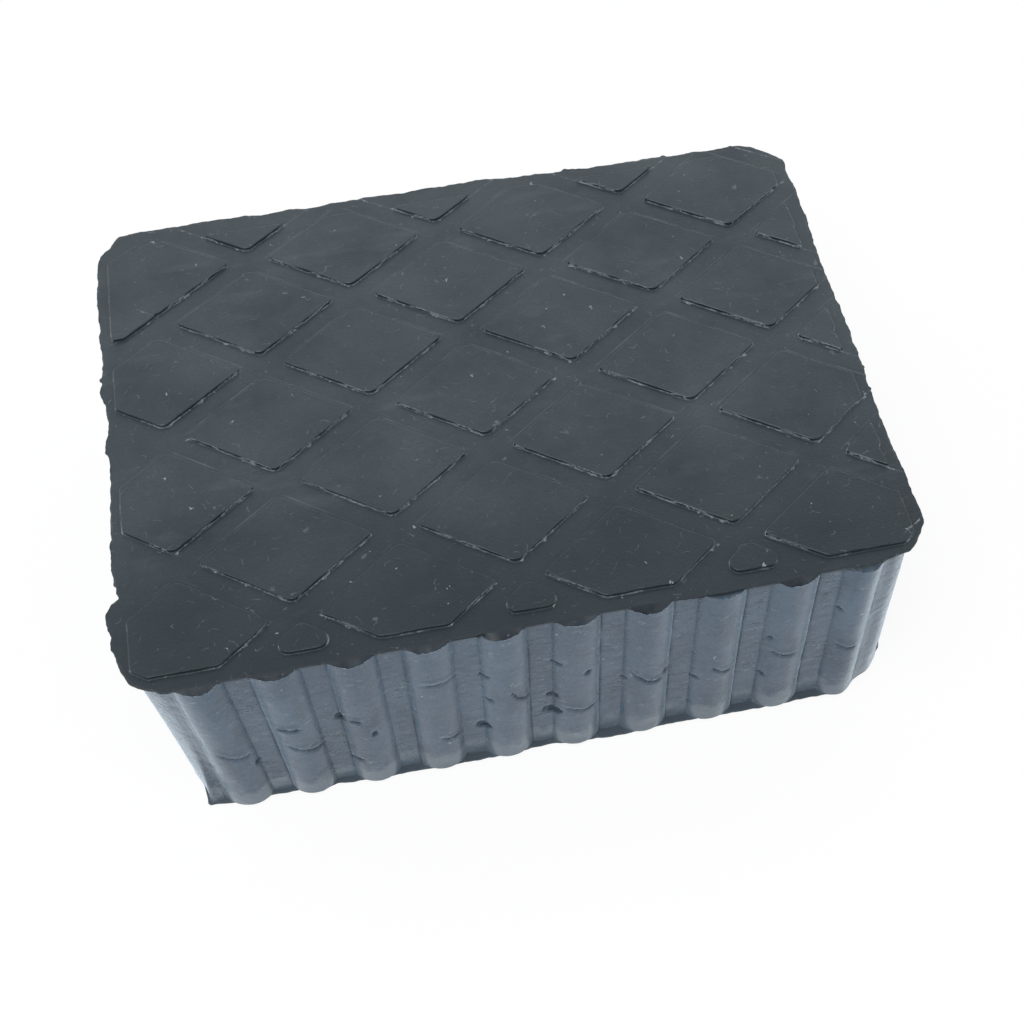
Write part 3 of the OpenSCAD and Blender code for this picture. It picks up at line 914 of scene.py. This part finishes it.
# Each stud is open at its top and at its foot. The tops are closed, and the plate between
# the feet and the film is filled in.
stud_edges = [e for e in body.edges
              if e.is_boundary and e.verts[0].index >= len(skin_points)]
stud_loops = open_loops(stud_edges)
half_height = stud_sizes["Height"] / MM / 2
stud_tops = [loop for loop in stud_loops if loop[0].co.z > top + half_height]
stud_feet = [loop for loop in stud_loops if loop[0].co.z <= top + half_height]
for loop in stud_tops:
    body.faces.new(loop)
plate_loop = [body.verts[k] for k in torn_ids[-1]]
flat_loops = [plate_loop] + stud_feet
flat_verts = [v for loop in flat_loops for v in loop]
starts = np.cumsum([0] + [len(loop) for loop in flat_loops])
flat_faces = [list(range(a, b)) for a, b in zip(starts, starts[1:])]
plate = delaunay_2d_cdt([v.co.xy for v in flat_verts], [], flat_faces, 1, 1e-6)
plate_faces, from_vert, from_face = plate[2], plate[3], plate[5]
for plate_face, owners in zip(plate_faces, from_face):
    if list(owners) == [0] and all(from_vert[k] for k in plate_face):
        body.faces.new([flat_verts[from_vert[k][0]] for k in plate_face])
bmesh.ops.recalc_face_normals(body, faces=body.faces)
sharpest_smooth = math.radians(38)
for edge in body.edges:
    edge.smooth = edge.calc_face_angle(0) < sharpest_smooth
for loop in stud_tops + stud_feet + [plate_loop]:
    for before, after in zip(loop, loop[1:] + loop[:1]):
        body.edges.get((before, after)).smooth = False
bmesh.ops.triangulate(body, faces=[f for f in body.faces if len(f.verts) > 4])
body.to_mesh(skin)
body.free()
skin_at = places(skin)
# The block came out of its mould a little pinched at its left foot, most at the front.
pinch_in, pinch_from = 3.8, 70
pinch = pinch_in * (np.minimum(skin_at[:, 0], 0) / pinch_from) ** 2
pinch = pinch * (1 - np.minimum(skin_at[:, 2] / top, 1))
skin_at[:, 0] += pinch * np.interp(skin_at[:, 1], (-45, 50), (1.0, 0.45))
# The last front rib sits a little close to its neighbour.
rib_shift, shifted_x, shifted_half = 1.6, 67, 5
near_front = np.clip((-55.5 - skin_at[:, 1]) / 1.5, 0, 1)
skin_at[:, 0] -= rib_shift * near_front * np.exp(
    -((skin_at[:, 0] - shifted_x) / shifted_half) ** 2)
skin_at = skin_at * MM + np.array(block_centre)
box_margin = 0.02 * MM
skin_at[:, :2] = np.clip(skin_at[:, :2], np.array(cad_box[0][:2]) + box_margin,
                         np.array(cad_box[1][:2]) - box_margin)
skin.vertices.foreach_set("co", skin_at.ravel())
skin.polygons.foreach_set("use_smooth", [True] * len(skin.polygons))
# What the finish follows: no bloom, tear, painted shade or gap on the studs, and no stud
# line elsewhere.
for spent in ("inset", "centre", "line"):
    skin.attributes.remove(skin.attributes[spent])
no_line, no_look = np.zeros((len(skin_looks), 1)), np.zeros((len(stud_lines), 3))
skin_values = np.block([[np.array(skin_looks), no_line], [no_look, stud_lines[:, None]]])
for label, values in zip(("wall", "torn", "gap", "line"), skin_values.T):
    skin.attributes.new(label, "FLOAT", "POINT").data.foreach_set("value", values)
skin.update()
rubber_block = bpy.data.objects.new("rubber_block", skin)
scene.collection.objects.link(rubber_block)
skin.materials.clear()
skin.materials.append(rubber)

# The rubber is black, dulled by the mould. On the sides a grey-blue bloom of wax lies over
# it, rubbed off in places, and the torn and cut edges are fresh and matt.
finish = rubber.node_tree


def tinted(cover, plain, covered):
    """A colour, covered by another where the mask says so."""
    return put(finish, "ShaderNodeMix", {"Factor": cover, "A": plain, "B": covered},
               data_type="RGBA").outputs["Result"]


def value_mix(cover, plain, covered):
    """A value, replaced by another where the mask says so."""
    return put(finish, "ShaderNodeMix", {"Factor": cover, "A": plain, "B": covered},
               data_type="FLOAT").outputs["Result"]


def spread(value, low, high):
    """A mask from 0 to 1, as the value runs from low to high."""
    return put(finish, "ShaderNodeMapRange", {
        "Value": value, "From Min": low, "From Max": high}).outputs["Result"]


def product(a, b):
    """A mask held back by another, or by a share."""
    return calc(finish, "MULTIPLY", a, b)


def larger(a, b):
    """Two masks laid together."""
    return calc(finish, "MAXIMUM", a, b)


def within(socket, middle=0.0):
    """How far a value lies from a middle, either way."""
    return calc(finish, "ABSOLUTE", calc(finish, "SUBTRACT", socket, middle))


def ripple(size, detail=2.0, rough=0.5, stretch=(1, 1, 1)):
    """A raw mottle around a half, in patches of about this many millimetres."""
    placed = put(finish, "ShaderNodeMapping", {"Vector": where, "Scale": stretch}).outputs[0]
    return put(finish, "ShaderNodeTexNoise", {
        "Vector": placed, "Scale": 1 / (size * MM), "Detail": detail,
        "Roughness": rough}).outputs["Fac"]


def cloud(size, detail=4.0, stretch=(1, 1, 1), low=0.3, high=0.7, rough=0.55):
    """A mottled mask from 0 to 1."""
    return spread(ripple(size, detail, rough, stretch), low, high)


where = put(finish, "ShaderNodeTexCoord").outputs["Object"]
along_axis = put(finish, "ShaderNodeSeparateXYZ", {0: where}).outputs
height = along_axis["Z"]
mask = {label: put(finish, "ShaderNodeAttribute", attribute_name=label).outputs["Fac"]
        for label in ("wall", "torn", "gap", "line")}

# The top is black with a thin bloom, in broad and fine patches, with light scuffs.
top_colour = tinted(cloud(24, 6), (0.015, 0.028, 0.039, 1), (0.055, 0.074, 0.086, 1))
top_colour = tinted(product(cloud(3.5, 3), 0.3), top_colour, (0.058, 0.077, 0.090, 1))
top_colour = tinted(product(cloud(0.7, 2), 0.35), top_colour, (0.024, 0.034, 0.042, 1))
scuff = product(cloud(6, 6, (0.35, 1, 1), 0.6, 0.75), 0.4)
top_colour = tinted(scuff, top_colour, (0.085, 0.105, 0.117, 1))

# The stud pattern's own directions: each runs from -1 to 1 across a diamond and its groove,
# and the diamond's edge lies at the same share of it everywhere.
pattern_middle = block_centre + Vector((stud_sizes["Shift"], 0, 0))
pattern_tile = (stud_sizes["Tile X"], stud_sizes["Tile Y"], 1)
pad_at = put(finish, "ShaderNodeVectorMath", {0: where, 1: pattern_middle},
             operation="SUBTRACT").outputs[0]
pad_at = put(finish, "ShaderNodeVectorMath", {0: pad_at, 1: pattern_tile},
             operation="DIVIDE").outputs[0]
pad_at = put(finish, "ShaderNodeSeparateXYZ", {0: pad_at}).outputs
rising = calc(finish, "WRAP", calc(finish, "ADD", pad_at[0], pad_at[1]), -1.0, 1.0)
falling = calc(finish, "WRAP", calc(finish, "SUBTRACT", pad_at[1], pad_at[0]), -1.0, 1.0)
rim_share = 0.793
in_pattern = product(spread(along_axis["Y"], -55 * MM, -53 * MM),
                     spread(along_axis["X"], -70 * MM, -69 * MM))


def back_highlight(off, on):
    """A faint painted highlight behind one of the two back edges of each diamond."""
    behind_edge, faint = 0.075, 0.022
    apart = within(off, rim_share + behind_edge)
    on_edge = spread(within(on), rim_share, rim_share - 0.1)
    return product(spread(apart, faint, 0), on_edge)


# The back edges of the diamonds carry a painted highlight, towards the back only.
back_highlights = larger(back_highlight(rising, falling), back_highlight(falling, rising))
back_highlights = product(back_highlights, cloud(9, 5, low=0.42, high=0.66))
back_highlights = product(back_highlights, spread(along_axis["Y"], -42 * MM, -36 * MM))
back_highlights = product(back_highlights, in_pattern)
top_colour = tinted(product(back_highlights, 0.5), top_colour, (0.16, 0.185, 0.20, 1))

# Towards the trimmed front side the top is painted darker, as shade.
painted_front_shade = spread(along_axis["Y"], -18 * MM, -50 * MM)
top_colour = tinted(product(painted_front_shade, 0.6), top_colour, (0.010, 0.018, 0.024, 1))

# Light flecks of two sizes, torn out of round, and short curled fibres.
torn_at = put(finish, "ShaderNodeTexNoise", {
    "Vector": where, "Scale": 1 / (0.9 * MM), "Detail": 2.0})
torn_at = put(finish, "ShaderNodeVectorMath", {
    0: torn_at.outputs["Color"], 1: (2.2 * MM, 2.2 * MM, 2.2 * MM), 2: where},
    operation="MULTIPLY_ADD").outputs[0]
cells = put(finish, "ShaderNodeTexVoronoi", {"Vector": torn_at, "Scale": 1 / (4.5 * MM)})
cell_pick = put(finish, "ShaderNodeSeparateColor", {0: cells.outputs["Color"]}).outputs
speck_size = value_mix(cell_pick[1], 0.02, 0.08)
speck = product(calc(finish, "LESS_THAN", cells.outputs["Distance"], speck_size),
                spread(cell_pick[0], 0.42, 0.5))
top_colour = tinted(product(speck, 0.7), top_colour, (0.36, 0.40, 0.42, 1))
fine_cells = put(finish, "ShaderNodeTexVoronoi", {"Vector": torn_at, "Scale": 1 / (1.9 * MM)})
fine_pick = put(finish, "ShaderNodeSeparateColor", {0: fine_cells.outputs["Color"]}).outputs
fine_speck = product(calc(finish, "LESS_THAN", fine_cells.outputs["Distance"], 0.06),
                     spread(fine_pick[0], 0.62, 0.7))
top_colour = tinted(product(fine_speck, 0.35), top_colour, (0.30, 0.34, 0.36, 1))
hair = spread(within(ripple(5, 1.0), 0.5), 0.008, 0.0)
hair = product(hair, cloud(1.6, 2, low=0.57, high=0.61))
top_colour = tinted(product(hair, 0.45), top_colour, (0.20, 0.23, 0.25, 1))

# The steep side of a stud is painted darker as shade, dust lies along its foot, and its rim
# is lighter, partly worn and partly a painted highlight.
stud_line = mask["line"]
stud_side_shade = product(spread(height, block_height + 0.05 * MM, block_height + 0.2 * MM),
                    spread(height, block_height + 0.72 * MM, block_height + 0.6 * MM))
top_colour = tinted(product(stud_side_shade, 0.9), top_colour, (0.012, 0.016, 0.018, 1))


def swept(off, on):
    """Dust swept against one of the two front edges of each diamond, in clumps."""
    beyond = calc(finish, "SUBTRACT", calc(finish, "MULTIPLY", off, -1.0), rim_share)
    width = product(cloud(3, 6, low=0.54, high=0.85, rough=0.7), 0.12)
    heap = calc(finish, "LESS_THAN", beyond, width)
    on_edge = spread(within(on), rim_share, rim_share - 0.04)
    return product(product(heap, calc(finish, "GREATER_THAN", beyond, -0.004)), on_edge)


heaps = larger(swept(rising, falling), swept(falling, rising))
heaps = product(product(heaps, in_pattern), cloud(0.6, 3, low=0.3, high=0.6))
dust = product(spread(stud_line, 0.1, 0.7), cloud(4, 8, low=0.5, high=0.64, rough=0.75))
dust = larger(larger(dust, heaps), product(spread(stud_line, 0.3, 0.9), 0.15))
top_colour = tinted(product(dust, 0.8), top_colour, (0.30, 0.35, 0.38, 1))
# The rim is lightened as wear and as a painted highlight, away from the borders.
rim_wear_and_highlight = product(spread(stud_line, -0.2, -0.9), cloud(5, 6, low=0.46, high=0.66))
off_borders = product(spread(along_axis["X"], 70 * MM, 68 * MM),
                      spread(along_axis["X"], -73 * MM, -71 * MM))
rim_wear_and_highlight = product(rim_wear_and_highlight, off_borders)
top_colour = tinted(product(rim_wear_and_highlight, 0.35), top_colour, (0.17, 0.195, 0.21, 1))

# The sides carry the full bloom, painted lighter partly as light from the bright room:
# mottled, smeared downwards, stained low down, chalky in small spots, dusty at the foot, and
# ticked across in the gaps.
bloom = cloud(14, 6, (1, 1, 0.5), 0.36, 0.66)
side_colour = tinted(bloom, (0.028, 0.056, 0.094, 1), (0.068, 0.116, 0.174, 1))
side_colour = tinted(product(cloud(1.5, 4), 0.4), side_colour, (0.024, 0.046, 0.078, 1))
side_colour = tinted(product(cloud(0.5, 3), 0.45), side_colour, (0.085, 0.140, 0.200, 1))
smear = cloud(5, 5, (1, 1, 0.35), 0.52, 0.7)
side_colour = tinted(product(smear, 0.5), side_colour, (0.030, 0.050, 0.076, 1))
stain = product(cloud(3.5, 6, (1, 1, 0.3), 0.48, 0.68), spread(height, 26 * MM, 6 * MM))
side_colour = tinted(product(stain, 0.6), side_colour, (0.026, 0.042, 0.062, 1))
chalk = product(cloud(2.2, 5, (1, 1, 2), 0.62, 0.74), 0.5)
side_colour = tinted(chalk, side_colour, (0.24, 0.29, 0.33, 1))
dust_line = calc(finish, "ADD", height, product(cloud(2.5, 4, low=0, high=1), -7 * MM))
foot_dust = product(spread(dust_line, 2.8 * MM, 0.8 * MM), 0.45)
side_colour = tinted(foot_dust, side_colour, (0.21, 0.25, 0.28, 1))
ticks = product(spread(ripple(2.6, stretch=(1, 1, 5)), 0.62, 0.68), mask["gap"])
ticks = product(ticks, cloud(8, 3, low=0.42, high=0.58))
side_colour = tinted(product(ticks, 0.85), side_colour, (0.030, 0.040, 0.048, 1))
side_colour = tinted(product(speck, 0.6), side_colour, (0.45, 0.50, 0.54, 1))

# The sides are painted lighter than the top, partly for their bloom and partly as painted light
# from the bright room.
colour = tinted(mask["wall"], top_colour, side_colour)
# Torn and cut rubber is dark, and the same dark is painted as shade in creases, pits and folds, at
# the slits and under the hanging film.
colour = tinted(mask["torn"], colour, (0.008, 0.015, 0.023, 1))
roughness = value_mix(mask["wall"], 0.36, value_mix(smear, 0.24, 0.34))
roughness = value_mix(mask["torn"], roughness, 0.95)

# A fine grain all over, and wrinkles on the walls.
grain = ripple(0.55, 3.0)
wrinkle = ripple(4, 3.0, stretch=(1, 1, 2.2))
relief = calc(finish, "ADD", product(grain, value_mix(mask["wall"], 0.45, 0.8)),
              product(wrinkle, product(mask["wall"], 0.8)))
relief = calc(finish, "ADD", relief, product(ticks, -2.5))
bump = put(finish, "ShaderNodeBump", {
    "Height": relief, "Strength": 0.7, "Distance": 0.15 * MM})

shader = finish.nodes["Principled BSDF"]
shader.inputs["Specular IOR Level"].default_value = 0.5
shader.inputs["Sheen Weight"].default_value = 1.0
shader.inputs["Sheen Roughness"].default_value = 0.27
shader.inputs["Sheen Tint"].default_value = (0.7, 0.87, 1.0, 1)
finish.links.new(colour, shader.inputs["Base Color"])
finish.links.new(roughness, shader.inputs["Roughness"])
finish.links.new(bump.outputs[0], shader.inputs["Normal"])

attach(rubber_block, "root")
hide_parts("rubber_pad")
